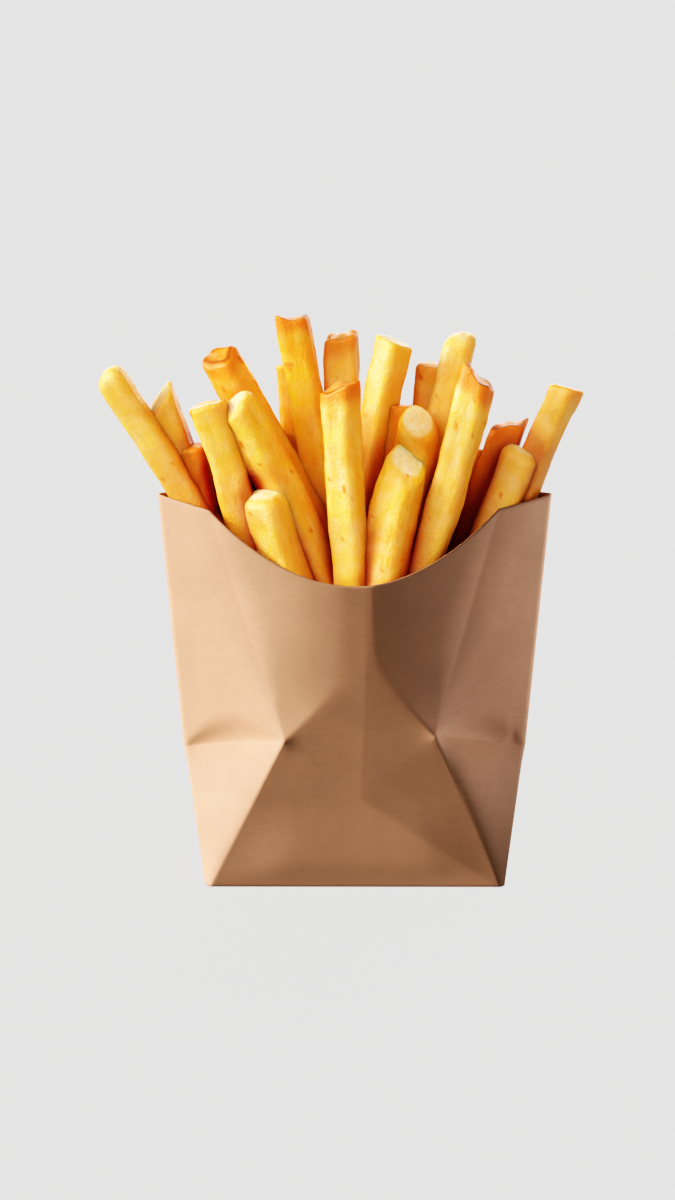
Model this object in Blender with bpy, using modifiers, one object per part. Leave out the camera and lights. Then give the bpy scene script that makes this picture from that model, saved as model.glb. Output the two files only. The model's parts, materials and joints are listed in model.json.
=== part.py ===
"""French fries standing in a folded paper carton with a scooped front.

Metres, +Z up. The origin is the middle of the carton's flat base, and the scooped front faces -Y.
The carton is one folded sheet, modelled as an open surface with a wall thickness. The fries are one
bundle: a core that fills the carton, with every fry that shows fused on at its true size.
"""

import math
from collections import namedtuple

import bmesh
import bpy
import numpy as np
from mathutils import Matrix, Vector

MM = 0.001

# Driving sizes of the carton, in millimetres.
PAPER = 0.5
HEIGHT = 120.0
MOUTH_HALF_WIDTH = 61.5
WAIST_HALF_WIDTH = 54.0
WAIST_HEIGHT = 39.5
BASE_HALF_WIDTH = 46.5
BASE_HALF_DEPTH = 27.0
PINCH_HEIGHT = 45.0
SCOOP_BOTTOM = 93.4
SIDE_BULGE = 1.5
FOLD_RADIUS = 1.5
CORE_SCALE = 0.94
CORE_FLOOR = 1.5
CORE_TOP = 84.0

# Columns between one crease and the next, from the side fold to the middle, and rows below and above the waist.
COLUMNS = (2, 4, 5)
ROWS = (5, 9)

# Driving sizes of the fries, in millimetres.
FRY_EDGE = 1.1
FRY_RINGS = 4

# A panel's creases. Each point is (x, depth, z): depth is how far the paper stands out from the middle plane.
# pinch is where the waist crease meets the front crease, and shoulder is where that crease reaches the rim.
Panel = namedtuple("Panel", "facing pinch_left pinch_right shoulder_left shoulder_right ridge_x "
                            "ridge_depth waist_depth foot_swell bulge_left bulge_right rim_middle")
FRONT = Panel(
    facing=-1,
    pinch_left=(-22.3, 25.5, PINCH_HEIGHT),
    pinch_right=(25.4, 25.2, PINCH_HEIGHT + 0.6),
    shoulder_left=(-45.2, 13.0, 116.6),
    shoulder_right=(44.6, 12.0, 116.9),
    ridge_x=3.0,
    ridge_depth=27.5,
    waist_depth=25.9,
    foot_swell=1.2,
    bulge_left=2.6,
    bulge_right=0.4,
    rim_middle=SCOOP_BOTTOM,
)
BACK = Panel(
    facing=1,
    pinch_left=(-25.0, 24.5, PINCH_HEIGHT + 1.0),
    pinch_right=(23.5, 24.8, PINCH_HEIGHT),
    shoulder_left=(-44.0, 13.5, HEIGHT),
    shoulder_right=(44.0, 13.5, HEIGHT),
    ridge_x=-2.0,
    ridge_depth=26.5,
    waist_depth=25.3,
    foot_swell=0.9,
    bulge_left=2.4,
    bulge_right=2.4,
    rim_middle=HEIGHT,
)

# One fry. tip and foot are the middles of its ends, roll turns its square section, and the end is cut on a
# slant of so many degrees facing aim: 0 the front, 90 the right, -90 the left. bow bends it to its right.
Fry = namedtuple("Fry", "name tip foot width thickness roll slant aim bow")
FRIES = (
    Fry("far_left", (-77, 0, 156.5), (-32, -1, 83), 9.6, 8.8, 16, 14, -80, 1.5),
    Fry("left_back", (-61, 4.5, 150), (-36, 0, 80), 9.2, 8.6, 12, 36, -60, 0.5),
    Fry("left_chip", (-50.5, 1, 135), (-40, 1, 78), 7.5, 7.5, 20, 10, 0, 0),
    Fry("left_upright", (-45.8, -7, 149), (-29, -10, 80), 11.4, 9.6, 14, 6, 0, 2.5),
    Fry("left_lean", (-45, 6, 164.5), (-1, 2, 88), 10.4, 9.8, 10, 8, -40, 0),
    Fry("left_thick", (-36.8, -7, 150), (-4, -11, 76), 12.0, 11.4, 42, 28, -50, 2.5),
    Fry("tall_left", (-19.6, 8, 175), (-5, 7, 84), 10.2, 9.6, 8, 4, 0, 0.5),
    Fry("middle_front", (-4.6, -12, 156), (1.5, -17.5, 78), 11.0, 9.2, 26, 14, -30, -1),
    Fry("middle_back", (-4.2, 12, 168.5), (-4, 12, 80), 10.4, 9.4, 12, 14, -60, 0),
    Fry("right_of_middle", (12.4, 6, 168.5), (-3.5, 0, 78), 10.0, 9.6, 40, 12, 60, -1),
    Fry("back_short", (24.6, 14, 159), (18, 12, 80), 9.2, 9.0, 8, 5, 0, 0),
    Fry("back_pale", (33.6, 10, 169), (13, 5, 82), 9.6, 9.2, 12, 24, -40, 0),
    Fry("right_long", (38, -8, 158), (13, -14.5, 76), 10.6, 9.8, 20, 24, 60, 1.5),
    Fry("round_end", (18.8, -4, 143), (13, -8, 80), 10.8, 10.4, 30, 40, 4, 1.0),
    Fry("browned_stub", (14.5, 4, 147), (9, 3, 80), 8.6, 8.4, 10, 0, 0, 0),
    Fry("front_round_end", (14, -12, 133), (5, -17.5, 80), 11.6, 10.8, 26, 42, 4, -1.5),
    Fry("right_browned", (48.3, 2, 141.5), (26, -4, 78), 9.8, 9.2, 14, 26, -70, 0),
    Fry("right_front", (52.5, -2.5, 134.5), (30, -7, 80), 10.2, 9.6, 24, 30, 10, 1.2),
    Fry("far_right", (66.5, 2, 153), (40, 0, 80), 9.4, 9.0, 30, 6, -60, -2.0),
    Fry("front_stub", (-27.8, -13.5, 122.5), (-16, -16, 78), 10.8, 10.2, 38, 30, 0, 0),
    Fry("left_inner", (-34, 3, 138), (-17, 0, 80), 9.2, 9.0, 12, 8, 0, 0),
    Fry("left_deep", (-27, -3, 123), (-22, -4, 78), 9.0, 9.0, 20, 10, 0, 0),
    Fry("rear_1", (-43.5, 6, 136), (-32, 6, 78), 9.2, 9.0, 30, 20, 180, 0),
    Fry("rear_2", (-30, 13.5, 139), (-23, 13, 78), 9.4, 9.2, 15, 10, 180, 0),
    Fry("rear_3", (-20, 18, 158), (-13, 16.5, 78), 9.2, 9.0, 24, 16, 150, 0),
    Fry("rear_4", (-6, 19, 150), (-4, 17.5, 78), 9.6, 9.0, 40, 8, 180, 0),
    Fry("rear_5", (9, 18.5, 152), (5, 17, 78), 9.2, 9.2, 12, 24, 200, 0),
    Fry("rear_6", (21.5, 16, 143), (14, 15, 78), 9.4, 9.0, 34, 12, 180, 0),
    Fry("rear_7", (35, 12.5, 149), (23, 11, 78), 9.0, 9.0, 20, 18, 210, 0),
    Fry("rear_8", (42, 7.5, 131), (30, 7, 78), 9.2, 9.0, 8, 26, 160, 0),
)

CARDBOARD = ((0.60, 0.40, 0.25, 1.0), 0.62)
FRIED_POTATO = ((0.86, 0.47, 0.07, 1.0), 0.42)


def clear_scene():
    for obj in list(bpy.data.objects):
        bpy.data.objects.remove(obj)


def material(name, colour_and_roughness):
    """A plain non-metallic material."""
    colour, roughness = colour_and_roughness
    made = bpy.data.materials.new(name)
    made.use_nodes = True
    shader = made.node_tree.nodes["Principled BSDF"]
    shader.inputs["Base Color"].default_value = colour
    shader.inputs["Roughness"].default_value = roughness
    shader.inputs["Metallic"].default_value = 0.0
    return made


def blend(start, end, share):
    """The points a share of the way from start to end. share is a number or an array."""
    share = np.asarray(share, float)[..., None]
    return np.asarray(start, float) * (1 - share) + np.asarray(end, float) * share


def soft_min(first, second, softness):
    """The smaller of two depths, with the crease between them rounded."""
    return -softness * np.logaddexp(-first / softness, -second / softness)


def rim_height(panel, x):
    """The rim's height at x: lobes that fall gently from the side folds, and between the shoulders a parabola."""
    left, right = panel.shoulder_left, panel.shoulder_right
    shoulder = np.where(x < 0, left[2], right[2])
    reach = np.where(x < 0, -left[0], right[0])
    across = np.abs(x)
    scoop = panel.rim_middle + (shoulder - panel.rim_middle) * (across / reach) ** 2
    lobe = shoulder + (HEIGHT - shoulder) * (across - reach) / (MOUTH_HALF_WIDTH - reach)
    return np.where(across < reach, scoop, lobe)


def crease_points(panel, side):
    """For one side of a panel, the base, waist and rim points of its side fold, fold edge and front crease."""
    pinch = panel.pinch_left if side < 0 else panel.pinch_right
    shoulder = panel.shoulder_left if side < 0 else panel.shoulder_right
    fold = FOLD_RADIUS
    middle_side = ((side * BASE_HALF_WIDTH, 0, 0),
                   (side * WAIST_HALF_WIDTH, 0, WAIST_HEIGHT),
                   (side * MOUTH_HALF_WIDTH, 0, HEIGHT))
    fold_edge = ((side * BASE_HALF_WIDTH, BASE_HALF_DEPTH - fold, 0),
                 (side * (WAIST_HALF_WIDTH - fold / 3), fold, WAIST_HEIGHT),
                 (side * (MOUTH_HALF_WIDTH - fold / 3), fold, HEIGHT))
    front_crease = ((side * (BASE_HALF_WIDTH - fold), BASE_HALF_DEPTH, 0), pinch, shoulder)
    return middle_side, fold_edge, front_crease


def half_panel(panel, side, columns, rows):
    """Points of half a panel, (row, column, xyz), from the side fold to the middle.

    Below the waist and above it each column runs straight between its own points on the base, the waist
    and the rim. Between the front crease and the middle ridge the depth is blended, with a bulge that
    grows towards the rim, and just above the waist a flat diamond cuts the ridge off.
    """
    middle_side, fold_edge, front_crease = crease_points(panel, side)
    ridge = ((0, BASE_HALF_DEPTH, 0),
             (panel.ridge_x, panel.waist_depth, PINCH_HEIGHT),
             (panel.ridge_x, panel.ridge_depth, panel.rim_middle))
    lines = [middle_side, fold_edge, front_crease, ridge]
    bulge = panel.bulge_left if side < 0 else panel.bulge_right
    v = np.concatenate([np.linspace(0, 1, rows[0] + 1), np.linspace(1, 2, rows[1] + 1)[1:]])
    low, high = np.clip(v, 0, 1), np.clip(v - 1, 0, 1)
    strips = []
    for strip, count in enumerate(columns):
        shares = np.linspace(0, 1, count + 1)
        if strip > 0:
            shares = shares[1:]
        outer, inner = lines[strip], lines[strip + 1]
        base, waist, rim = (blend(outer[level], inner[level], shares) for level in range(3))
        rim[:, 2] = rim_height(panel, rim[:, 0])
        below = blend(base[None], waist[None], low[:, None])
        points = np.where((v <= 1)[:, None, None], below, blend(waist[None], rim[None], high[:, None]))
        if strip == 2:
            crease = np.where(v <= 1, blend(outer[0], outer[1], low)[:, 1], blend(outer[1], outer[2], high)[:, 1])
            ruled = crease[:, None] * (1 - shares) + panel.ridge_depth * shares
            ruled = ruled + bulge * high[:, None] * 4 * shares * (1 - shares)
            diamond = panel.waist_depth + 0.08 * (points[..., 2] - PINCH_HEIGHT)
            points[..., 1] = np.where((v > 1)[:, None], soft_min(ruled, diamond, 0.25), points[..., 1])
        if strip == 1:
            points[..., 1] += SIDE_BULGE * high[:, None] * 4 * shares * (1 - shares)
        if strip > 0:
            swell = panel.foot_swell * np.sin(math.pi * np.clip(points[..., 2] / PINCH_HEIGHT, 0, 1) ** 0.6)
            inward = shares if strip == 2 else np.zeros_like(shares)
            points[..., 1] += swell * inward
        strips.append(points)
    made = np.concatenate(strips, axis=1)
    made[..., 1] *= panel.facing
    return made


def panel_points(panel, columns, rows):
    """Points of a whole panel, (row, column, xyz), from the left fold to the right one."""
    left = half_panel(panel, -1, columns, rows)
    right = half_panel(panel, 1, columns, rows)
    middle = (left[:, -1:] + right[:, -1:]) / 2
    return np.concatenate([left[:, :-1], middle, right[:, -2::-1]], axis=1)


def add_object(name, mesh, collection):
    made = bpy.data.objects.new(name, mesh)
    collection.objects.link(made)
    return made


def surface_mesh(name, front, back, top_closed):
    """A mesh of two panels that share their side columns, with a flat bottom, and a flat top if asked for."""
    ring = np.concatenate([front, back[:, -2:0:-1]], axis=1)
    rows, around = ring.shape[:2]
    faces = []
    for row in range(rows - 1):
        for column in range(around):
            following = (column + 1) % around
            low, high = row * around, (row + 1) * around
            faces.append((low + column, low + following, high + following, high + column))
    faces.append(tuple(range(around))[::-1])
    if top_closed:
        faces.append(tuple(range((rows - 1) * around, rows * around)))
    mesh = bpy.data.meshes.new(name)
    mesh.from_pydata((ring.reshape(-1, 3) * MM).tolist(), [], faces)
    mesh.validate()
    return mesh


def make_carton(collection):
    """The folded sheet: front and back panels that meet in side folds, a flat base and an open mouth."""
    front = panel_points(FRONT, COLUMNS, ROWS)
    back = panel_points(BACK, COLUMNS, ROWS)
    mesh = surface_mesh("carton", front, back, False)
    carton = add_object("carton", mesh, collection)
    wall = carton.modifiers.new("paper", "SOLIDIFY")
    wall.thickness = PAPER * MM
    wall.offset = -1
    wall.use_even_offset = True
    carton.data.materials.append(material("kraft_cardboard", CARDBOARD))
    mesh.shade_smooth()
    mesh.set_sharp_from_angle(angle=math.radians(25))
    return carton


def core_points(panel):
    """A panel drawn in towards the middle and cut off level below the fries that show."""
    points = panel_points(panel, COLUMNS, ROWS)
    points[..., :2] *= CORE_SCALE
    height = points[..., 2]
    top = height[-1]
    squeezed = CORE_FLOOR + height * (CORE_TOP - CORE_FLOOR) / top
    # Each row's shape has to stay at its own height, so x and depth are read again at the squeezed heights.
    for column in range(points.shape[1]):
        for axis in (0, 1):
            points[:, column, axis] = np.interp(squeezed[:, column], height[:, column], points[:, column, axis])
    points[..., 2] = squeezed
    return points


def make_core(collection):
    mesh = surface_mesh("fries", core_points(FRONT), core_points(BACK), True)
    return add_object("fries", mesh, collection)


def fry_mesh(fry):
    """A square-cut stick with softened edges, bent by its bow and cut off on a slant at its tip."""
    tip, foot = Vector(fry.tip), Vector(fry.foot)
    length = (tip - foot).length
    axis = (tip - foot).normalized()
    front = Vector((0, -1, 0))
    front = (front - axis * front.dot(axis)).normalized()
    right = front.cross(axis) * -1
    roll = math.radians(fry.roll)
    side_a = right * math.cos(roll) + front * math.sin(roll)
    side_b = front * math.cos(roll) - right * math.sin(roll)
    aim = math.radians(fry.aim)
    slant = math.tan(math.radians(fry.slant))
    downhill = front * math.cos(aim) + right * math.sin(aim)

    bm = bmesh.new()
    bmesh.ops.create_cube(bm, size=1.0)
    bmesh.ops.scale(bm, vec=(fry.width, fry.thickness, length), verts=bm.verts)
    bmesh.ops.translate(bm, vec=(0, 0, length / 2), verts=bm.verts)
    long_edges = [e for e in bm.edges if abs(e.verts[0].co.z - e.verts[1].co.z) > length / 2]
    bmesh.ops.bevel(bm, geom=long_edges, offset=FRY_EDGE * 1.2, segments=1, affect="EDGES")
    tip_edges = [e for e in bm.edges if all(v.co.z > length - 1e-4 for v in e.verts)]
    bmesh.ops.bevel(bm, geom=tip_edges, offset=FRY_EDGE, segments=1, affect="EDGES")
    for ring in range(1, FRY_RINGS):
        geometry = bm.verts[:] + bm.edges[:] + bm.faces[:]
        bmesh.ops.bisect_plane(bm, geom=geometry, plane_co=(0, 0, length * ring / FRY_RINGS), plane_no=(0, 0, 1))
    for vertex in bm.verts:
        across = side_a * vertex.co.x + side_b * vertex.co.y
        share = vertex.co.z / length
        drop = slant * across.dot(downhill) * max(0.0, share * FRY_RINGS - (FRY_RINGS - 1))
        bend = right * fry.bow * 4 * share * (1 - share)
        vertex.co = foot + axis * (vertex.co.z - drop) + across + bend
    bmesh.ops.recalc_face_normals(bm, faces=bm.faces)
    bmesh.ops.scale(bm, vec=(MM, MM, MM), verts=bm.verts)
    mesh = bpy.data.meshes.new(fry.name)
    bm.to_mesh(mesh)
    bm.free()
    return mesh


def make_fries(collection):
    """The core with every fry fused on, as one closed solid."""
    core = make_core(collection)
    sticks = bpy.data.collections.new("loose_fries")
    bpy.context.scene.collection.children.link(sticks)
    for fry in FRIES:
        add_object(fry.name, fry_mesh(fry), sticks)
    joined = core.modifiers.new("joined", "BOOLEAN")
    joined.operation = "UNION"
    joined.operand_type = "COLLECTION"
    joined.collection = sticks
    joined.solver = "EXACT"
    bpy.context.view_layer.update()
    evaluated = core.evaluated_get(bpy.context.evaluated_depsgraph_get())
    fused = bpy.data.meshes.new_from_object(evaluated)
    core.modifiers.remove(joined)
    core.data = fused
    for stick in list(sticks.objects):
        bpy.data.objects.remove(stick)
    bpy.data.collections.remove(sticks)
    fused.name = "fries"
    fused.materials.clear()
    fused.materials.append(material("fried_potato", FRIED_POTATO))
    fused.shade_smooth()
    fused.set_sharp_from_angle(angle=math.radians(30))
    return core


def main():
    clear_scene()
    collection = bpy.data.collections.new("fries_in_carton")
    bpy.context.scene.collection.children.link(collection)
    make_carton(collection)
    make_fries(collection)


main()
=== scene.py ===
"""Looks of french fries standing in a folded kraft paper carton.

Every size is in millimetres, in the carton's own frame: +Z up, the scooped front towards -Y, the origin
in the middle of the flat base. Meshes are turned into metres when they are made.
"""

import json
import math
from collections import namedtuple

import bpy
import numpy as np
from bpy.props import FloatProperty, FloatVectorProperty, IntProperty, PointerProperty
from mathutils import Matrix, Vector

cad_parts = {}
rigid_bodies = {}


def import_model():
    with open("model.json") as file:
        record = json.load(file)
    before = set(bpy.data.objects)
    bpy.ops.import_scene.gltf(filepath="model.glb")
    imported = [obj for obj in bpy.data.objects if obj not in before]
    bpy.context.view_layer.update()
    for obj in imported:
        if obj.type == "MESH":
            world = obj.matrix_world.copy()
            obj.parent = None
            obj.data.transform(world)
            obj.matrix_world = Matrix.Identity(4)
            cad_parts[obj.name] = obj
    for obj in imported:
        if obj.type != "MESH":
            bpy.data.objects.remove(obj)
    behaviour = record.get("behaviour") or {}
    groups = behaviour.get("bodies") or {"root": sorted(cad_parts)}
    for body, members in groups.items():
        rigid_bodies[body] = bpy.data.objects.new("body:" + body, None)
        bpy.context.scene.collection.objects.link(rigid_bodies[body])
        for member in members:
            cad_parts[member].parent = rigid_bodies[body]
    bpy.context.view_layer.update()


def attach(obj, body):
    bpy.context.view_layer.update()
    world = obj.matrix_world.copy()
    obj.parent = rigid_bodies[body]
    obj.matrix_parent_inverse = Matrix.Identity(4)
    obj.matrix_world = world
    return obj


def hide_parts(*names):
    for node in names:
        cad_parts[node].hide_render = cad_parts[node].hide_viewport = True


bl_info = {
    "name": "Fries in a Paper Carton",
    "version": (1, 0, 0),
    "blender": (4, 5, 0),
    "location": "View3D > Sidebar > Fries",
    "description": "Builds a kraft paper carton of french fries and a plain studio round it",
    "category": "Object",
}

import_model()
MM = 0.001

# Sizes of the carton in millimetres. A half width is counted from the middle plane.
HEIGHT = 120.0
MOUTH_HALF_WIDTH = 61.5
WAIST_HALF_WIDTH = 54.0
WAIST_HEIGHT = 39.5
BASE_HALF_WIDTH = 46.5
PINCH_HEIGHT = 45.0
SCOOP_BOTTOM = 95.1
FOLD_RADIUS = 1.5
SIDE_BULGE = 0.4
RIDGE_HALF_WIDTH = 0.4
PINCH_PUSH = 0.8
PINCH_REACH = 2.4
SEAM_X = 6.0
SEAM_STEP = 0.4
SEAM_FADE = 9.0

# The crumple at the right end of the waist crease: the height, the centre and the radii of each mound.
CRUMPLE = ((0.3, (47.0, 42.2), (3.0, 1.3)), (-1.1, (50.2, 43.8), (1.3, 2.6)))

# The carton's grid: columns in each strip from the side fold to the ridge, rows below and above the
# waist, and rings across the base.
FRONT_COLUMNS = (4, 26, 52)
BACK_COLUMNS = (4, 20, 34)
ROWS_BELOW = 46
ROWS_ABOVE = 76
BASE_RINGS = 26
SIDE_STRIP, MIDDLE_STRIP = 1, 2

# One half of a panel. Each point is (x, depth, z): depth is how far the paper stands out from the middle
# plane. foot is the depth at the base's corner. pinch is where the waist crease meets the front crease,
# shoulder is where that crease reaches the rim, and ridge is where the upper sheet's inner edge turns
# from upright towards the pinch. roll is how round the upper sheet is, dip how deep the waist crease is
# pressed in, and tuck how far the front crease is drawn in. shelf is how far the paper is rounded out
# beside the lower crease, and the power by which that fades towards the waist.
Half = namedtuple("Half", "sign foot pinch shoulder ridge roll dip tuck shelf")

# low_point is the tip of the low triangle that the base folds up into, and foot_swell how far its middle
# stands out.
Panel = namedtuple("Panel", "facing low_point foot_swell rim_middle left right")
FRONT = Panel(
    facing=-1, low_point=(1.9, 27.0, 28.5), foot_swell=0.9, rim_middle=SCOOP_BOTTOM,
    left=Half(sign=-1, foot=25.8, pinch=(-21.9, 26.2, 46.6), shoulder=(-45.2, 13.0, 116.6),
              ridge=(-3.4, 26.3, 64.5), roll=0.75, dip=3.3, tuck=2.0, shelf=(3.4, 1.3)),
    right=Half(sign=1, foot=26.3, pinch=(24.8, 26.3, 48.2), shoulder=(44.6, 12.0, 116.9),
               ridge=(5.6, 26.2, 69.5), roll=0.4, dip=2.4, tuck=5.0, shelf=(5.2, 6.0)))
BACK = Panel(
    facing=1, low_point=(-1.0, 26.8, 26.0), foot_swell=0.3, rim_middle=HEIGHT,
    left=Half(sign=-1, foot=26.8, pinch=(-25.0, 25.6, 46.0), shoulder=(-44.0, 13.5, HEIGHT),
              ridge=(-6.0, 26.3, 70.0), roll=0.5, dip=1.6, tuck=1.0, shelf=(1.8, 2.0)),
    right=Half(sign=1, foot=26.8, pinch=(23.5, 25.8, 45.0), shoulder=(44.0, 13.5, HEIGHT),
               ridge=(1.5, 26.3, 66.0), roll=0.5, dip=1.8, tuck=1.4, shelf=(1.8, 3.0)))

# Layers of relief: the size of a wave, its height and its seed.
PAPER_WAVES = ((34.0, 0.22, 3), (13.0, 0.07, 4))
PAPER_DENTS = ((5.0, 0.018, 5),)
SKIN_RELIEF = ((11.0, 0.34, 6), (5.5, 0.20, 7), (2.8, 0.11, 8), (1.4, 0.05, 9))

# Rows of a fry along its body, round the rim of its end and across its cut face.
BODY_ROWS = 66
RIM_ROWS = 8
FACE_ROWS = 11
ROUND_END = 2.05  # an end whose rim has a larger radius than this is also round in section
ROUND_POWER = 2.15

# One fry. tip and foot are the middles of its ends, roll turns its square section, and the end is cut on
# a slant of so many degrees facing aim: 0 the front, 90 the right, -90 the left, 180 the back. bow bends
# it to its right. end is the radius of the end's rim and dome lifts the end's middle. toast is how brown
# the end's rim is, cream how pale its cut face is, and tone how deep the whole fry is fried, from 0 pale
# to 1 amber. peak raises a ragged corner at peak_aim. The rear fries stand behind the others and show
# only from the back and the sides.
Fry = namedtuple(
    "Fry", "name tip foot width thickness roll slant aim bow end dome toast cream tone peak peak_aim",
    defaults=(0, 0))
FRIES = (
    Fry("far_left", (-77.4, 0, 158.3), (-32, -1, 83), 9.6, 8.8, 16, 14, -80, 1.5, 3.4, 0.3, 0.05, 0.5, 0.15),
    Fry("left_back", (-61, 4.5, 149.5), (-36, 0, 80), 9.2, 8.6, 12, 42, -60, 0.5, 1.6, 0.2, 0.1, 0.9, 0.2),
    Fry("left_chip", (-50.5, 1, 135), (-40, 1, 78), 7.5, 7.5, 20, 10, 0, 0, 1.5, 0.2, 0.7, 0.1, 0.8),
    Fry("left_upright", (-45.8, -7, 149), (-29, -10, 80), 11.4, 9.6, 14, 6, 0, 2.5, 1.5, -0.3, 0.25, 0.6,
        0.25, 0.6, 60),
    Fry("left_lean", (-42.6, 5, 163.2), (-1, 2, 88), 10.8, 10.2, 30, 26, 10, 0, 1.9, -0.6, 0.85, 0.45, 0.3),
    Fry("left_thick", (-37.8, -7, 149.2), (-4, -11, 76), 12.0, 11.4, 42, 28, -50, 2.5, 2.6, 0.3, 0.0, 1.0,
        0.25),
    Fry("tall_left", (-19.6, 8, 174.4), (-5, 7, 84), 10.2, 9.6, 8, 4, 90, 0.5, 1.0, -0.5, 1.0, 0.0, 0.4, 1.2,
        -60),
    Fry("middle_front", (-4.6, -12, 155), (1.5, -17.5, 78), 11.0, 9.2, 26, 16, -40, -1, 1.0, 0.2, 0.9, 0.1,
        0.2, 1.7, 50),
    Fry("middle_back", (-4.2, 12, 168.5), (-4, 12, 80), 10.4, 9.4, 12, 14, -60, 0, 1.3, 0.2, 0.7, 0.2, 0.05),
    Fry("right_of_middle", (12.2, 6, 167.4), (-3.5, 0, 78), 10.0, 9.6, 40, 14, 60, -1, 1.1, -0.3, 0.1, 0.9,
        0.2),
    Fry("back_short", (24.6, 14, 159), (18, 12, 80), 9.6, 9.2, 8, 5, 0, 0, 1.2, 0.3, 0.45, 0.1, 0.2),
    Fry("back_pale", (33.6, 10, 169), (13, 5, 82), 9.6, 9.2, 12, 24, -40, 0, 3.8, 0.4, 0.05, 0.4, 0.05),
    Fry("right_long", (38, -8, 157.5), (13, -14.5, 76), 10.6, 9.8, 20, 26, 60, 1.5, 1.0, 0.2, 1.0, 0.0, 0.2,
        1.2, -40),
    Fry("round_end", (19.4, -4, 143.4), (13, -8, 80), 12.2, 11.4, 30, 46, 4, 1.0, 2.4, 0.5, 0.0, 1.0, 0.45),
    Fry("browned_stub", (14.5, 4, 147), (9, 3, 80), 8.6, 8.4, 10, 0, 0, 0, 1.2, 0.3, 0.7, 0.0, 0.7),
    Fry("front_round_end", (16.2, -12, 132.4), (6.5, -17.5, 80), 13.4, 12.0, 30, 46, 4, -1.5, 2.7, 0.5, 0.0,
        1.0, 0.3),
    Fry("right_browned", (48.3, 5.5, 141), (26, -1, 78), 10.2, 9.2, 14, 26, -70, 0, 1.0, 0.3, 0.95, 0.0, 0.5,
        1.5, 90),
    Fry("right_front", (52.3, -1.2, 134.2), (29, -5.4, 80), 11.8, 9.8, 24, 14, 10, 1.2, 3.6, 0.4, 0.0, 0.9,
        0.0),
    Fry("far_right", (66.2, 2, 153), (40, 0, 80), 9.4, 9.0, 30, 6, -60, -2.0, 1.1, -0.2, 0.45, 0.2, 0.12),
    Fry("front_stub", (-28.2, -13.5, 122.3), (-15.5, -16, 78), 13.4, 12.0, 38, 18, 0, 0, 3.2, 0.3, 0.0, 1.0,
        0.2),
    Fry("left_inner", (-34, 3, 138), (-17, 0, 80), 9.2, 9.0, 12, 8, 0, 0, 1.4, 0.2, 0.4, 0.2, 0.75),
    Fry("left_deep", (-29.6, -2.5, 126.6), (-22, -4, 78), 9.6, 9.4, 34, 22, 0, 0, 1.2, 0.2, 0.9, 0.0, 0.8),
    Fry("rear_1", (-43.5, 6, 136), (-32, 6, 78), 9.2, 9.0, 30, 20, 180, 0, 1.8, 0.3, 0.3, 0.5, 0.5),
    Fry("rear_2", (-30, 13.5, 139), (-23, 13, 78), 9.4, 9.2, 15, 10, 180, 0, 1.2, 0.3, 0.6, 0.2, 0.4, 1.5,
        150),
    Fry("rear_3", (-20, 18, 158), (-13, 16.5, 78), 9.2, 9.0, 24, 16, 150, 0, 1.4, 0.3, 0.2, 0.7, 0.35),
    Fry("rear_4", (-6, 19, 150), (-4, 17.5, 78), 9.6, 9.0, 40, 8, 180, 0, 2.0, 0.3, 0.1, 0.6, 0.45),
    Fry("rear_5", (9, 18.5, 152), (5, 17, 78), 9.2, 9.2, 12, 24, 200, 0, 1.2, 0.3, 0.7, 0.2, 0.5, 1.2, 200),
    Fry("rear_6", (21.5, 16, 143), (14, 15, 78), 9.4, 9.0, 34, 12, 180, 0, 2.4, 0.3, 0.1, 0.8, 0.3),
    Fry("rear_7", (35, 12.5, 149), (23, 11, 78), 9.0, 9.0, 20, 18, 210, 0, 1.4, 0.3, 0.3, 0.4, 0.4),
    Fry("rear_8", (42, 7.5, 131), (30, 7, 78), 9.2, 9.0, 8, 26, 160, 0, 1.4, 0.3, 0.5, 0.4, 0.55),
)

# A light's name, which is also its setting's, its softness in degrees, where it shines from, its colour
# and the start of the names of the pieces that it lights, where an empty start means all pieces. A
# softness of 0 stands for the key softness. A light with an aim is a spotlight turned towards it, and the
# others are distant.
Light = namedtuple("Light", "name softness place colour lit aim", defaults=(None,))
LIGHTS = (
    Light("key", 0, (-900, -168, 290), (1.0, 0.98, 0.95), "paper_"),
    Light("fries_key", 0, (-900, -150, 290), (1.0, 0.98, 0.95), "fries_"),
    Light("fill", 0, (900, 60, 90), (0.97, 1.0, 1.08), "paper_", aim=(50, -12, 110)),
    Light("fries_front", 50, (-520, -480, 600), (1.0, 0.98, 0.94), "fries_"),
    Light("fries_fill", 90, (700, -520, 120), (1.0, 0.77, 0.46), "fries_"),
    Light("underside", 8, (0, 0, -900), (1.0, 0.97, 0.93), "paper_"),
    Light("back", 60, (150, 950, 280), (1.0, 1.0, 1.0), ""),
)
SPOT_ANGLE = 16.6
SPOT_RADIUS = 30.0
FLOOR_HALF_WIDTH = 30000.0
FLOOR_LEVEL = 0.35  # the top of the flaps under the base, so that the base shows whole from below
CAMERA_AIM = (-5.4, -24.0, 90.5)
CAMERA_DISTANCE = 1000.0
SENSOR_WIDTH = 36.0

# The contrast of the view: light, and the brightness that it is shown with.
TONE = ((0, 0), (0.033, 0.010), (0.065, 0.038), (0.131, 0.138), (0.196, 0.265), (0.261, 0.39), (0.327, 0.50),
        (0.392, 0.59), (0.458, 0.668), (0.523, 0.74), (0.588, 0.81), (0.654, 0.862), (0.719, 0.896),
        (0.817, 0.935), (0.980, 0.975), (1.2, 1.0))
TONE_WHITE = TONE[-1][0]

# Factors that mix the corners of noise cells into even random values, and how many bits are kept.
CELL_FACTORS = (73856093, 19349663, 83492791)
SEED_FACTOR = 2654435761
MIX_FACTOR = 1274126177
BITS_32 = 0xFFFFFFFF
BITS_24 = 0xFFFFFF
BITS_23 = 0x7FFFFF


# Numbers and meshes.


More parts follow.
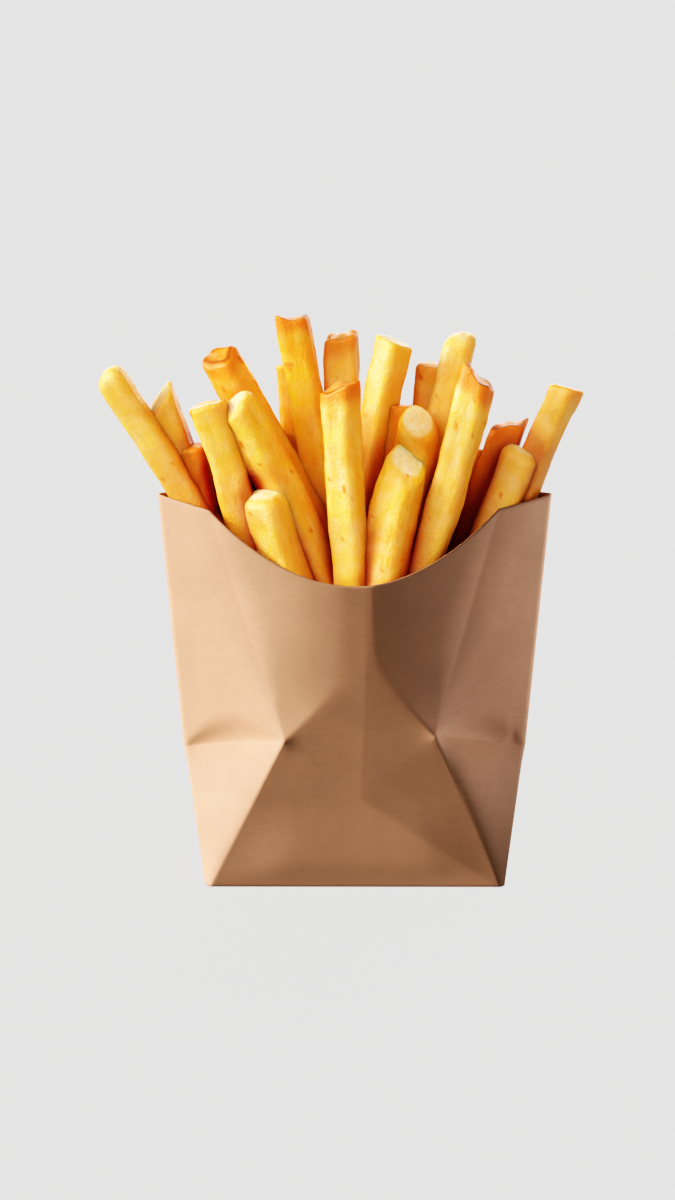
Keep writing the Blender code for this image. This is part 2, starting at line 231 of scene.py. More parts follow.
def blend(start, end, share):
    """The points a share of the way from start to end: start + (end - start) * share."""
    share = np.asarray(share, float)[..., None]
    return np.asarray(start, float) * (1 - share) + np.asarray(end, float) * share


def smooth(share):
    """An S-shaped step, 3t^2 - 2t^3, of the share clipped to 0..1."""
    share = np.clip(share, 0.0, 1.0)
    return share * share * (3 - 2 * share)


def soft_min(first, second, softness):
    """The smaller of two depths with the corner between them rounded: -s ln(e^(-a/s) + e^(-b/s))."""
    return -softness * np.logaddexp(-first / softness, -second / softness)


def soft_noise(points, cell, seed):
    """Smooth noise from -1 to 1: random values on the corners of cubic cells, blended by S-shaped shares."""
    grid = np.asarray(points, float) / cell
    corner = np.floor(grid).astype(np.int64)
    share = smooth(grid - corner)
    total = 0.0
    for step in np.ndindex(2, 2, 2):
        mixed = seed * SEED_FACTOR
        for axis, factor in enumerate(CELL_FACTORS):
            mixed = mixed ^ (corner[..., axis] + step[axis]) * factor
        mixed = (mixed ^ mixed >> 13) * MIX_FACTOR & BITS_32
        mixed = (mixed ^ mixed >> 16) & BITS_24
        weight = np.prod(np.where(np.array(step) == 1, share, 1 - share), axis=-1)
        total = total + weight * (mixed / BITS_23 - 1)
    return total


def layered_noise(points, layers):
    """The sum of layers of smooth noise, each with the size of its cells, its height and its seed."""
    return sum(height * soft_noise(points, cell, seed) for cell, height, seed in layers)


def mound(x, z, centre, radii):
    """A bell of height 1 at centre, exp(-((x - cx) / rx)^2 - ((z - cz) / rz)^2)."""
    return np.exp(-((x - centre[0]) / radii[0]) ** 2 - ((z - centre[1]) / radii[1]) ** 2)


def plane_depth(corners, x, z):
    """Depth at (x, z) of the plane through three (x, depth, z) corners."""
    a, b, c = (np.array(corner, float) for corner in corners)
    normal = np.cross(b - a, c - a)
    return a[1] - (normal[0] * (x - a[0]) + normal[2] * (z - a[2])) / normal[1]


def past_line(start, end, x, z, width):
    """A smooth step, width across, from 0 below the line through two (x, depth, z) points to 1 above it."""
    along = np.array([end[0] - start[0], end[2] - start[2]])
    across = np.array([-along[1], along[0]]) / np.hypot(*along)
    across = across * (1 if across[1] > 0 else -1)
    distance = (x - start[0]) * across[0] + (z - start[2]) * across[1]
    return smooth(distance / width + 0.5)


def tube_faces(rows, columns, start=0):
    """The quads of a closed tube of points, numbered row by row from start."""
    row = start + np.arange(rows - 1)[:, None] * columns
    low = (row + np.arange(columns)).ravel()
    following = (row + (np.arange(columns) + 1) % columns).ravel()
    return np.stack([low, following, following + columns, low + columns], axis=1).tolist()


def fan_faces(first, columns, pole, flipped=False):
    """Triangles from a closed row of points, which starts at first, to the pole. flipped turns them over."""
    ring = np.arange(columns)
    pair = [ring + first, (ring + 1) % columns + first]
    if flipped:
        pair.reverse()
    return np.stack([*pair, np.full(columns, pole)], axis=1).tolist()


def capped_tube_faces(rows, columns, start=0):
    """A tube's quads and a fan on each end. Its two poles come after its rows, the first row's pole first."""
    last = start + (rows - 1) * columns
    pole = last + columns
    return (tube_faces(rows, columns, start) + fan_faces(start, columns, pole, flipped=True)
            + fan_faces(last, columns, pole + 1))


def mesh_object(name, points, faces, attributes=None):
    """A smooth-shaded mesh object of points in millimetres and faces, with float attributes on its points."""
    mesh = bpy.data.meshes.new(name)
    mesh.from_pydata((np.asarray(points).reshape(-1, 3) * MM).tolist(), [], faces)
    for key, values in (attributes or {}).items():
        layer = mesh.attributes.new(key, "FLOAT", "POINT")
        layer.data.foreach_set("value", np.asarray(values, np.float32).ravel())
    mesh.validate()
    mesh.update()
    mesh.shade_smooth()
    made = bpy.data.objects.new(name, mesh)
    bpy.context.scene.collection.objects.link(made)
    return made


# The folded sheet.


def rim_height(panel, x):
    """The rim's height at x: lobes that fall gently from the side folds, and between them a parabola."""
    left, right = panel.left.shoulder, panel.right.shoulder
    shoulder = np.where(x < 0, left[2], right[2])
    reach = np.where(x < 0, -left[0], right[0])
    across = np.abs(x)
    scoop = panel.rim_middle + (shoulder - panel.rim_middle) * (across / reach) ** 2
    lobe = shoulder + (HEIGHT - shoulder) * (across - reach) / (MOUTH_HALF_WIDTH - reach)
    return np.where(across < reach, scoop, lobe)


def base_corner(half):
    """Where a front crease meets the base."""
    return half.sign * (BASE_HALF_WIDTH - FOLD_RADIUS), half.foot, 0


def crease_lines(panel, half):
    """Base, waist and rim points of the side fold, the fold's edge, the front crease and the middle ridge."""
    sign, fold = half.sign, FOLD_RADIUS
    middle_x = (panel.left.ridge[0] + panel.right.ridge[0]) / 2 + RIDGE_HALF_WIDTH * sign
    middle_depth = panel.left.ridge[1]
    side_fold = ((sign * BASE_HALF_WIDTH, 0, 0),
                 (sign * WAIST_HALF_WIDTH, 0, WAIST_HEIGHT),
                 (sign * MOUTH_HALF_WIDTH, 0, HEIGHT))
    fold_edge = ((sign * BASE_HALF_WIDTH, half.foot - fold, 0),
                 (sign * (WAIST_HALF_WIDTH - fold / 3), fold, WAIST_HEIGHT),
                 (sign * (MOUTH_HALF_WIDTH - fold / 3), fold, HEIGHT))
    front_crease = (base_corner(half), half.pinch, half.shoulder)
    middle = ((middle_x, (panel.left.foot + panel.right.foot) / 2, 0),
              (middle_x, middle_depth, PINCH_HEIGHT),
              (middle_x, middle_depth, panel.rim_middle))
    return side_fold, fold_edge, front_crease, middle


def ridge_top(panel):
    """Where the faint line down the middle starts, between the inner edges of the two upper sheets."""
    inwards, outwards = 2.2, 0.1
    left, right = panel.left.ridge, panel.right.ridge
    return right[0] - inwards, (left[1] + right[1]) / 2 + outwards, (left[2] + right[2]) / 2


def front_depth(panel, is_left, x, z):
    """Depth of the diamond and the strip above: planes through a pinch, the low point and the ridge top."""
    top, tip = ridge_top(panel), panel.low_point
    z = np.minimum(z, top[2])
    return np.where(is_left, plane_depth((panel.left.pinch, tip, top), x, z),
                    plane_depth((panel.right.pinch, tip, top), x, z))


def crease_tuck(tuck, up):
    """How far the front crease is drawn in at a share up its height: t (1 - e^(-10 up)) (1 - up)."""
    return tuck * (1 - np.exp(-10 * up)) * (1 - up)


def upper_sheet(panel, half, x, z):
    """Depth of an upper sheet and its slope at the front crease.

    At each height it runs from the crease to its inner edge as c + r (s + k s (1 - s)), with s the share of
    the way, r the rise and k the roll, which grows with height. Past the edge and below the pinch it stands
    out further than the front strip and the diamond, so that those hold there.
    """
    sharpness, least_reach, full_roll, past_edge, below_pinch = 6.0, 0.03, 0.5, 0.1, 0.3
    is_left = half.sign < 0
    pinch, shoulder, edge = half.pinch, half.shoulder, half.ridge
    up = np.clip((z - pinch[2]) / (shoulder[2] - pinch[2]), 0, 1)
    reach = (z - pinch[2]) / (edge[2] - pinch[2])
    reach = np.clip(1 - np.logaddexp(0, sharpness * (1 - reach)) / sharpness, least_reach, 1)
    crease_x = pinch[0] + up * (shoulder[0] - pinch[0])
    crease = pinch[1] + up * (shoulder[1] - pinch[1]) - crease_tuck(half.tuck, up)
    edge_x = pinch[0] + reach * (edge[0] - pinch[0])
    rise = front_depth(panel, is_left, edge_x, z) - crease
    share = np.clip((x - crease_x) / (edge_x - crease_x), 0, None)
    within = np.clip(share, 0, 1)
    bent = half.roll * smooth(up / full_roll)
    depth = crease + rise * (within + bent * within * (1 - within))
    beyond = front_depth(panel, is_left, x, z) + past_edge * np.abs(x - edge_x)
    slope = rise * (1 + bent) / np.abs(edge_x - crease_x)
    return np.where(share > 1, beyond, depth) + below_pinch * np.clip(pinch[2] - z, 0, None), slope


def past_triangle(panel, x, z):
    """Share from 0 inside the low triangle to 1 beyond its two upper edges, by smooth steps across them."""
    left_width, right_width = 3.2, 2.0
    tip = panel.low_point
    return np.where(x < tip[0], past_line(base_corner(panel.left), tip, x, z, left_width),
                    past_line(base_corner(panel.right), tip, x, z, right_width))


def facet_depth(panel, x, z, ruled):
    """Depth between the front creases, from flat facets that fade into each other across the folds.

    Three facets meet in the low point: the low triangle and a flank on each side of it. Above them is the
    diamond, bent along the middle, and above that ruled, the two upper sheets. Each facet is the plane
    through three corners, and where two cross on an outward fold the smaller depth holds. That fold is
    softest a little below its top.
    """
    fold_width, crisp, soft_left, soft_right = 4.0, 0.03, 0.12, 0.24
    softest, soft_reach = 5.0, 11.0
    tip, left, right, top = panel.low_point, panel.left.pinch, panel.right.pinch, ridge_top(panel)
    foot_left, foot_right = base_corner(panel.left), base_corner(panel.right)
    is_left = x < tip[0] + (top[0] - tip[0]) * np.clip((z - tip[2]) / (top[2] - tip[2]), 0, 1)
    triangle = plane_depth((foot_left, foot_right, tip), x, z)
    flank = np.where(is_left, plane_depth((foot_left, tip, left), x, z),
                     plane_depth((foot_right, tip, right), x, z))
    diamond = front_depth(panel, is_left, x, z)
    soft = np.where(is_left, soft_left, soft_right) * np.exp(-((z - top[2] + softest) / soft_reach) ** 2)
    upper = soft_min(ruled, diamond, crisp + soft)
    over_triangle = past_triangle(panel, x, z)
    over_flank = np.where(is_left, past_line(left, tip, x, z, fold_width),
                          past_line(right, tip, x, z, fold_width))
    return (triangle * (1 - over_triangle) + flank * over_triangle) * (1 - over_flank) + upper * over_flank


def side_bend(half, points, waist, shares, v):
    """Change of depth of the strip between the side fold and the front crease, with s the share of the way.

    Above the waist the paper bulges by 4 b s (1 - s), and the crease is drawn in. Below the waist it is
    rounded out by r tanh(gap / reach) s (1 - low^p). Along the waist crease it is pressed in by d times the
    arch sin(pi s)^0.8, up to a height that follows the arch, and below the crease by a share e^(-fall).
    """
    round_reach, arch_height, least_height, fall_reach = 5.8, 11.0, 0.8, 5.0
    z = points[..., 2]
    low, high = np.clip(v, 0, 1), np.clip(v - 1, 0, 1)
    bulge = SIDE_BULGE * high * 4 * shares * (1 - shares) - crease_tuck(half.tuck, high) * shares
    gap = (1 - shares) * np.abs(points[:, -1:, 0] - points[:, :1, 0])
    shelf, fading = half.shelf
    rounded = shelf * np.tanh(gap / round_reach) * shares * (1 - low ** fading)
    arch = np.sin(math.pi * shares) ** 0.8
    rise = np.clip((z - waist[:, 2]) / (arch_height * arch + least_height), 0, 1)
    fall = np.clip((waist[:, 2] - z) / fall_reach, 0, None)
    pressed = half.dip * arch * np.where(v > 1, (1 - smooth(rise)) ** 1.5, np.exp(-fall))
    return bulge + np.where(v <= 1, rounded, 0) - pressed


def foot_bulge(panel, z, shares):
    """How far the low triangle's middle stands out, rising from the base edge and falling again above."""
    rise, fall_start, fall = 9.0, 6.0, 24.0
    swell = panel.foot_swell * smooth(z / rise) * (1 - smooth((z - fall_start) / fall))
    return swell * smooth(shares / 0.5)


def crease_rounding(panel, half, lines, x, v):
    """Depth taken off round the upper front crease: t (r - gap)^2 / 4r, with t its turn and r its radius."""
    least, growth, grown_at = 0.5, 9.0, 0.6
    high = np.clip(v - 1, 0, 1)
    (_, outer_waist, outer_rim), (_, crease_waist, crease_rim) = lines[1:3]
    crease = blend(crease_waist, crease_rim, high)
    outside = blend(outer_waist, outer_rim, high)
    turn = (crease[..., 1] - outside[..., 1]) / np.abs(crease[..., 0] - outside[..., 0])
    turn = turn - upper_sheet(panel, half, crease[..., 0], crease[..., 2])[1]
    radius = least + growth * smooth(high / grown_at)
    within = np.clip(radius - np.abs(x - crease[..., 0]), 0, None)
    return (v > 1) * np.clip(turn, 0, None) * within ** 2 / (4 * radius)


def half_sheet(panel, half, columns, v):
    """Points of half a panel, (row, column, xyz), from the side fold to the ridge.

    v runs from 0 at the base to 1 at the waist and 2 at the rim. Between these each column runs straight. The
    depths are then bent: beside the side fold, over the diamond, round the pinch, at the foot and along the
    front crease.
    """
    lines = crease_lines(panel, half)
    strips = []
    for strip, count in enumerate(columns):
        first = 0 if strip == 0 else 1
        shares = np.linspace(0, 1, count + 1)[first:]
        base, waist, rim = (blend(lines[strip][level], lines[strip + 1][level], shares) for level in range(3))
        rim[:, 2] = rim_height(panel, rim[:, 0])
        points = np.where((v <= 1)[..., None], blend(base, waist, np.clip(v, 0, 1)),
                          blend(waist, rim, np.clip(v - 1, 0, 1)))
        x, z = points[..., 0], points[..., 2]
        if strip == SIDE_STRIP:
            points[..., 1] += side_bend(half, points, waist, shares, v)
        if strip == MIDDLE_STRIP:
            points[..., 1] = facet_depth(panel, x, z, upper_sheet(panel, half, x, z)[0])
            points[..., 1] += foot_bulge(panel, z, shares)
        from_pinch = np.hypot(x - half.pinch[0], z - half.pinch[2])
        points[..., 1] += PINCH_PUSH * np.exp(-from_pinch / PINCH_REACH)
        strips.append(points)
    sheet = np.concatenate(strips, axis=1)
    sheet[..., 1] -= crease_rounding(panel, half, lines, sheet[..., 0], v)
    return sheet


def sheet_panel(panel, columns, v):
    """A whole panel, (row, column, xyz), left fold to right fold, with the middle of the ridge between."""
    left = half_sheet(panel, panel.left, columns, v)
    right = half_sheet(panel, panel.right, columns, v)
    middle = blend(left[:, -1:], right[:, -1:], 0.5)
    made = np.concatenate([left, middle, right[:, ::-1]], axis=1)
    made[..., 1] *= panel.facing
    return made


def wrinkle(points, facing, height):
    """Changes of depth of worn paper: waves, dents, a crumple in front and the lapped seam at the back."""
    relief = layered_noise(points * [1, 0.4, 1], PAPER_WAVES) + layered_noise(points, PAPER_DENTS)
    x, z = points[..., 0], points[..., 2]
    from_base, from_fold = 5.0, 8.0
    fade = smooth(z / from_base) * smooth(np.abs(points[..., 1]) / from_fold)
    if facing > 0:
        mark = np.where(x < SEAM_X, SEAM_STEP * np.exp(-(SEAM_X - x) / SEAM_FADE), 0)
    else:
        mark = sum(rise * mound(x, z, centre, radii) for rise, centre, radii in CRUMPLE)
    return (relief * height + mark) * fade * facing


def sheet_rows(settings):
    """The carton's standing wall as a closed grid, (row, place round, xyz), from the base edge to the rim."""
    crowding = 1.25  # the power by which rows stand closer together towards the waist
    below = 1 - np.linspace(1, 0, ROWS_BELOW) ** crowding
    above = 1 + np.linspace(0, 1, ROWS_ABOVE) ** crowding
    v = np.concatenate([below, above[1:]])[:, None]
    front = sheet_panel(FRONT, FRONT_COLUMNS, v)
    back = sheet_panel(BACK, BACK_COLUMNS, v)
    front[..., 1] += wrinkle(front, FRONT.facing, settings.wrinkle)
    back[..., 1] += wrinkle(back, BACK.facing, settings.wrinkle)
    return np.concatenate([front, back[:, -2:0:-1]], axis=1)


def make_sheet(settings):
    """The carton's outer skin as one grid: both panels up the sides, and rings across the base."""
    around = sheet_rows(settings)
    rings = np.linspace(1, 0.02, BASE_RINGS)[:-1, None, None]
    base = around[:1] * rings
    base[..., 2] = base_relief(base[..., 0], base[..., 1], rings[..., 0])
    rows = np.concatenate([base[::-1], around[1:]])
    count, columns = rows.shape[:2]
    pole = count * columns
    points = np.concatenate([rows.reshape(-1, 3), [[0, 0, base[-1, :, 2].mean()]]])
    faces = tube_faces(count, columns) + fan_faces(0, columns, pole, flipped=True)
    x, y, z = points.T
    # rubbed is painted light: the low triangle at the foot is painted paler, standing in for brighter light
    # on that facet.
    rubbed = np.where(y < 0, 1 - past_triangle(FRONT, x, z), 1 - past_triangle(BACK, x, z)) * smooth(z / 1.5)
    return points, faces, {"rubbed": rubbed}


def base_relief(x, y, ring):
    """Height of the underside: two folded flaps that overlap in the middle, with corners tucked in under."""
    step, tuck_x, edge_ring = 2.5, 24, 0.08
    flap = 0.2 * smooth((y - 2.0) / step)
    tuck = 0.13 * smooth((np.abs(x) - tuck_x - 0.5 * np.abs(y)) / step)
    inside = smooth((1 - ring) / edge_ring)
    return inside * (flap + tuck)


# The fries.


def fry_directions(fry):
    """A fry's length, and the directions along it, to its right and to its front."""
    along = np.subtract(fry.tip, fry.foot)
    length = np.linalg.norm(along)
    axis = along / length
    front = np.array([0, -1.0, 0])
    front -= axis * (front @ axis)
    front /= np.linalg.norm(front)
    return length, axis, np.cross(axis, front), front


def fry_rows(fry, length):
    """Each row's share of the length, how far the rim has turned in there, and how small the face is."""
    body = np.linspace(-0.05, 1 - fry.end / length, BODY_ROWS)
    turn = np.linspace(0, math.pi / 2, RIM_ROWS)[1:]
    face = np.linspace(1, 0, FACE_ROWS)[1:]
    share = np.concatenate([body, 1 - fry.end / length * (1 - np.sin(turn)), np.ones(len(face))])
    inset = np.concatenate([np.zeros(len(body)), fry.end * (1 - np.cos(turn)), np.full(len(face), fry.end)])
    shrink = np.concatenate([np.ones(len(body) + len(turn)), face])
    return share[:, None], inset[:, None], shrink[:, None]


def fry_section(fry, settings, seed, length, share, inset):
    """Points of each row to the right and to the front of the fry's middle line.

    A row is a square with rounded corners, |x|^n + |y|^n = 1. Its width, its thickness and n waver along the
    fry, its faces sink, and it twists by a few degrees. Near a round end n falls towards a circle's 2.
    """
    waver, sinking, twist = 0.05, 0.03, math.radians(6)
    angle = np.linspace(0, 2 * math.pi, settings.sides, endpoint=False) + math.pi / 4
    rail = np.stack([share * length, np.full_like(share, seed * 17.0), np.zeros_like(share)], axis=-1)
    corner = settings.squareness * (1 + 0.25 * soft_noise(rail, 22.0, seed + 30))
    if fry.end > ROUND_END:
        rim, last_stretch = 3.0, 10.0
        rounding = np.maximum(smooth(inset / rim), smooth(1 - (1 - share) * length / last_stretch))
        corner = corner - (corner - ROUND_POWER) * rounding
    radius = (np.abs(np.cos(angle)) ** corner + np.abs(np.sin(angle)) ** corner) ** (-1 / corner)
    sink = 1 - sinking * np.cos(2 * angle) ** 4
    wide = fry.width / 2 * (1 + waver * soft_noise(rail, 15.0, seed)) - inset
    thick = fry.thickness / 2 * (1 + waver * soft_noise(rail, 13.0, seed + 50)) - inset
    across_a = wide * radius * sink * np.cos(angle)
    across_b = thick * radius * sink * np.sin(angle)
    roll = math.radians(fry.roll) + twist * soft_noise(rail, 40.0, seed + 90)
    return (across_a * np.cos(roll) - across_b * np.sin(roll),
            across_a * np.sin(roll) + across_b * np.cos(roll))


def cut_height(fry, settings, seed, length, share, u, w):
    """How far the end is lowered at (u, w): the slant of the cut, its raggedness and its raised corner."""
    aim, corner_aim = math.radians(fry.aim), math.radians(fry.peak_aim)
    downhill = w * math.cos(aim) + u * math.sin(aim)
    plan = np.stack([u, w, np.full_like(u, seed * 11.0)], axis=-1)
    toward = np.clip((w * math.cos(corner_aim) + u * math.sin(corner_aim)) / (fry.width / 2), 0, 1.2)
    ragged = settings.ragged * (0.25 + fry.toast) * soft_noise(plan, 4.0, seed + 20) + fry.peak * toward ** 3
    last_quarter = np.clip(share * 4 - 3, 0, None)
    near_end = smooth(1 - (1 - share) * length / 4.0)
    return downhill * math.tan(math.radians(fry.slant)) * last_quarter - ragged * near_end


def fry_colouring(fry, place, length, share, inset, shrink):
    """Shares of toast and of cream: toast on the end's rim and in blisters, cream on the cut face."""
    rim_at, rim_width, brown_length, blister_from, blister_fade = 0.75, 0.4, 7.5, 0.74, 0.14
    from_end = (1 - share) * length + soft_noise(place, 4.0, 12) * 2.0
    turned = inset / fry.end
    rim = np.exp(-((turned - rim_at) / rim_width) ** 2) * smooth((shrink - 0.75) / 0.2)
    toast = fry.toast * np.clip(smooth(1.15 - from_end / brown_length) * 0.5 + rim * 0.45, 0, 1)
    blister = smooth((soft_noise(place, 2.6, 14) - blister_from) / blister_fade) * 0.5
    toast = np.clip(toast + blister, 0, 1)
    cream = fry.cream * smooth((turned - 0.3) / 0.5) * (1 - 0.6 * toast)
    return toast, np.clip(cream * (0.8 + 0.2 * soft_noise(place, 2.0, 16)), 0, 1)


def fry_surface(fry, settings, seed):
    """Points of one fry, (row, column, xyz), and its masks: toast, cream and each point's place in the fry.

    Each row is a section carried from the foot to the tip along a line bent by a parabola. Rows past the
    end turn in on a quarter circle and then close over the end. Noise swells and roughens the skin, and
    cream ends are roughened along the fry.
    """
    length, axis, right, front = fry_directions(fry)
    share, inset, shrink = fry_rows(fry, length)
    u, w = (shrink * part for part in fry_section(fry, settings, seed, length, share, inset))
    lowered = cut_height(fry, settings, seed, length, share, u, w)
    rise = share * length - lowered + fry.dome * (1 - shrink ** 2)
    sideways = u + 4 * fry.bow * share * (1 - share)
    points = np.array(fry.foot) + axis * rise[..., None]
    points = points + right * sideways[..., None] + front * w[..., None]
    outward = right * u[..., None] + front * w[..., None]
    outward /= np.linalg.norm(outward, axis=-1, keepdims=True) + 1e-6
    place = points + seed * 31.0
    relief = layered_noise(place, SKIN_RELIEF) * settings.skin * shrink ** 0.5
    crumb = 0.25 * soft_noise(place, 2.2, 10) * (1 - shrink) * fry.cream
    points += outward * relief[..., None] + axis * crumb[..., None]
    toast, cream = fry_colouring(fry, place, length, share, inset, shrink)
    along = np.broadcast_to(share * length + seed * 60.0, u.shape)
    return points, {"toast": toast, "cream": cream, "side": u, "front": w, "along": along}


def gap_shade_mask(points, owner):
    """Painted shade between the fries: how deep each point lies among the others, 1 behind and against one,
    0 some millimetres from all.

    For every other fry it takes e^(-gap / reach), where the gap is the distance to that fry's middle line
    less about half its width, times more where that fry stands in front. The largest of these counts, most
    of all low in the carton, and low points far back in the middle of the carton count as deep as well.
    The mask darkens the fries' colour towards dark red where shade falls among them.
    """
    reach, least_in_front, strength, least_low = 2.6, 0.3, 2.8, 0.15
    covered = np.zeros(len(points))
    for index, fry in enumerate(FRIES):
        foot, tip = np.array(fry.foot, float), np.array(fry.tip, float)
        along = np.clip(((points - foot) @ (tip - foot)) / ((tip - foot) @ (tip - foot)), 0, 1)
        closest = foot + along[:, None] * (tip - foot)
        gap = np.linalg.norm(points - closest, axis=1) - 0.52 * fry.width
        in_front = smooth((points[:, 1] - closest[:, 1] + 1.0) / 7.0)
        shade = np.exp(-np.clip(gap, 0, None) / reach) * (least_in_front + (1 - least_in_front) * in_front)
        covered = np.where(owner == index, covered, np.maximum(covered, shade))
    above_mouth, low_stretch, middle_reach, fade = 36.0, 38.0, 42.0, 14.0
    mouth = rim_height(FRONT, np.clip(points[:, 0], -60, 60))
    low = smooth((mouth + above_mouth - points[:, 2]) / low_stretch)
    behind = smooth((points[:, 1] + fade) / fade) * smooth((middle_reach - np.abs(points[:, 0])) / fade)
    return np.clip(strength * covered * (least_low + (1 - least_low) * low) + low ** 2 * behind, 0, 1)


def make_fry_meshes(settings):
    """Every fry as a closed tube, joined into one list of points, faces and masks."""
    points, faces, owner, start = [], [], [], 0
    masks = {key: [] for key in ("toast", "cream", "tone", "side", "front", "along")}
    for seed, fry in enumerate(FRIES, start=1):
        surface, found = fry_surface(fry, settings, seed)
        rows, columns = surface.shape[:2]
        flat = np.concatenate([surface[:-1].reshape(-1, 3), [surface[0].mean(0), surface[-1].mean(0)]])
        faces += capped_tube_faces(rows - 1, columns, start)
        points.append(flat)
        for key, values in found.items():
            at_foot = values[0, 0] if key == "along" else 0
            masks[key].append(np.append(values[:-1], [at_foot, values[-1].mean()]))
        masks["tone"].append(np.full(len(flat), fry.tone))
        owner.append(np.full(len(flat), seed - 1))
        start += len(flat)
    points = np.concatenate(points)
    masks = {key: np.concatenate(values) for key, values in masks.items()}
    # deep is painted shade: a mask that darkens the fries where they lie among others.
    masks["deep"] = gap_shade_mask(points, np.concatenate(owner))
    return points, faces, masks


def make_core(settings):
    """The unseen lower fries as one block: the carton's wall drawn in all round, closed by a lumpy top."""
    every, top_row, drawn_in = 3, 86, (0.955, 0.86, 1.0)
    wall = sheet_rows(settings)[1:top_row:every, ::every] * drawn_in
    shrink = np.linspace(1, 0.04, 16)[1:, None, None]
    lid = wall[-1:] * [1, 1, 0] * shrink
    middle = wall[-1, :, 2].mean() + 2.0 * soft_noise(lid, 7.0, 40)
    lid[..., 2] = wall[-1:, :, 2] * shrink[..., 0] + middle * (1 - shrink[..., 0])
    rows = np.concatenate([wall, lid])
    points = np.concatenate([rows.reshape(-1, 3), [[0, 0, wall[0, :, 2].mean()], lid[-1].mean(0)]])
    return points, capped_tube_faces(*rows.shape[:2])


# Materials.


def set_values(node, values):
    """Sets a node's inputs by name."""
    for name, value in values.items():
        node.inputs[name].default_value = value


def feed(tree, node, index, value):
    """Links a socket to a node's input, or sets the input to a plain value."""
    if isinstance(value, bpy.types.NodeSocket):
        tree.links.new(value, node.inputs[index])
    else:
        node.inputs[index].default_value = value


def mix_colours(tree, share, first, second):
    """A Mix node on colours. Each of share, first and second is a socket or a value."""
    node = tree.nodes.new("ShaderNodeMix")
    node.data_type = "RGBA"
    feed(tree, node, 0, share)
    for index, colour in ((6, first), (7, second)):
        feed(tree, node, index, colour if isinstance(colour, bpy.types.NodeSocket) else (*colour[:3], 1.0))
    return node.outputs[2]


def noise(tree, vector, scale, detail=3.0, roughness=0.5):
    """The factor of a Noise Texture at that scale on a vector socket."""
    node = tree.nodes.new("ShaderNodeTexNoise")
    set_values(node, {"Scale": scale, "Detail": detail, "Roughness": roughness})
    tree.links.new(vector, node.inputs["Vector"])
    return node.outputs["Fac"]


def ramp(tree, value, low, high, to_low=0.0, to_high=1.0):
    """A Map Range node that carries low..high to to_low..to_high, clamped, on a smooth step."""
    node = tree.nodes.new("ShaderNodeMapRange")
    node.interpolation_type = "SMOOTHSTEP"
    set_values(node, {"From Min": low, "From Max": high, "To Min": to_low, "To Max": to_high})
    tree.links.new(value, node.inputs["Value"])
    return node.outputs["Result"]


def arithmetic(tree, operation, first, second):
    """A Math node. Each of first and second is a socket or a number."""
    node = tree.nodes.new("ShaderNodeMath")
    node.operation = operation
    feed(tree, node, 0, first)
    feed(tree, node, 1, second)
    return node.outputs[0]


def attribute(tree, name):
    """A float attribute of the mesh's points."""
    node = tree.nodes.new("ShaderNodeAttribute")
    node.attribute_name = name
    return node.outputs["Fac"]


def add_relief(tree, shader, height, strength, distance):
    """A Bump node whose distance is in millimetres, from the height to the shader's normal."""
    bump = tree.nodes.new("ShaderNodeBump")
    set_values(bump, {"Strength": strength, "Distance": distance * MM})
    tree.links.new(height, bump.inputs["Height"])
    tree.links.new(bump.outputs["Normal"], shader.inputs["Normal"])


def mottle_group():
    """A node group that puts out patches and specks on Object coordinates, for paper and for fried skin."""
    if "Mottle" in bpy.data.node_groups:
        return bpy.data.node_groups["Mottle"]
    group = bpy.data.node_groups.new("Mottle", "ShaderNodeTree")
    sockets = group.interface
    sockets.new_socket("Vector", in_out="INPUT", socket_type="NodeSocketVector")
    for name, default in (("Patch Scale", 60.0), ("Speck Scale", 600.0)):
        sockets.new_socket(name, in_out="INPUT", socket_type="NodeSocketFloat").default_value = default
    for name in ("Patches", "Specks", "Grain"):
        sockets.new_socket(name, in_out="OUTPUT", socket_type="NodeSocketFloat")
    entry = group.nodes.new("NodeGroupInput")
    leave = group.nodes.new("NodeGroupOutput")
    found = {}
    for name, scale, detail, roughness in (("Patches", "Patch Scale", 4.0, 0.5),
                                           ("Specks", "Speck Scale", 2.0, 0.5),
                                           ("Grain", "Speck Scale", 6.0, 0.7)):
        node = group.nodes.new("ShaderNodeTexNoise")
        set_values(node, {"Detail": detail, "Roughness": roughness})
        group.links.new(entry.outputs["Vector"], node.inputs["Vector"])
        group.links.new(entry.outputs[scale], node.inputs["Scale"])
        found[name] = node.outputs["Fac"]
    group.links.new(ramp(group, found["Patches"], 0.35, 0.65), leave.inputs["Patches"])
    group.links.new(ramp(group, found["Specks"], 0.62, 0.72), leave.inputs["Specks"])
    group.links.new(found["Grain"], leave.inputs["Grain"])
    return group


def start_material(name):
    """A new material's node tree, its Principled BSDF and the Object coordinates of its surface."""
    made = bpy.data.materials.new(name)
    made.use_nodes = True
    tree = made.node_tree
    place = tree.nodes.new("ShaderNodeTexCoord").outputs["Object"]
    return made, tree, tree.nodes["Principled BSDF"], place


def mottle(tree, place, patch_scale, speck_scale):
    """A placed Mottle group with its own scales."""
    node = tree.nodes.new("ShaderNodeGroup")
    node.node_tree = mottle_group()
    set_values(node, {"Patch Scale": patch_scale, "Speck Scale": speck_scale})
    tree.links.new(place, node.inputs["Vector"])
    return node.outputs


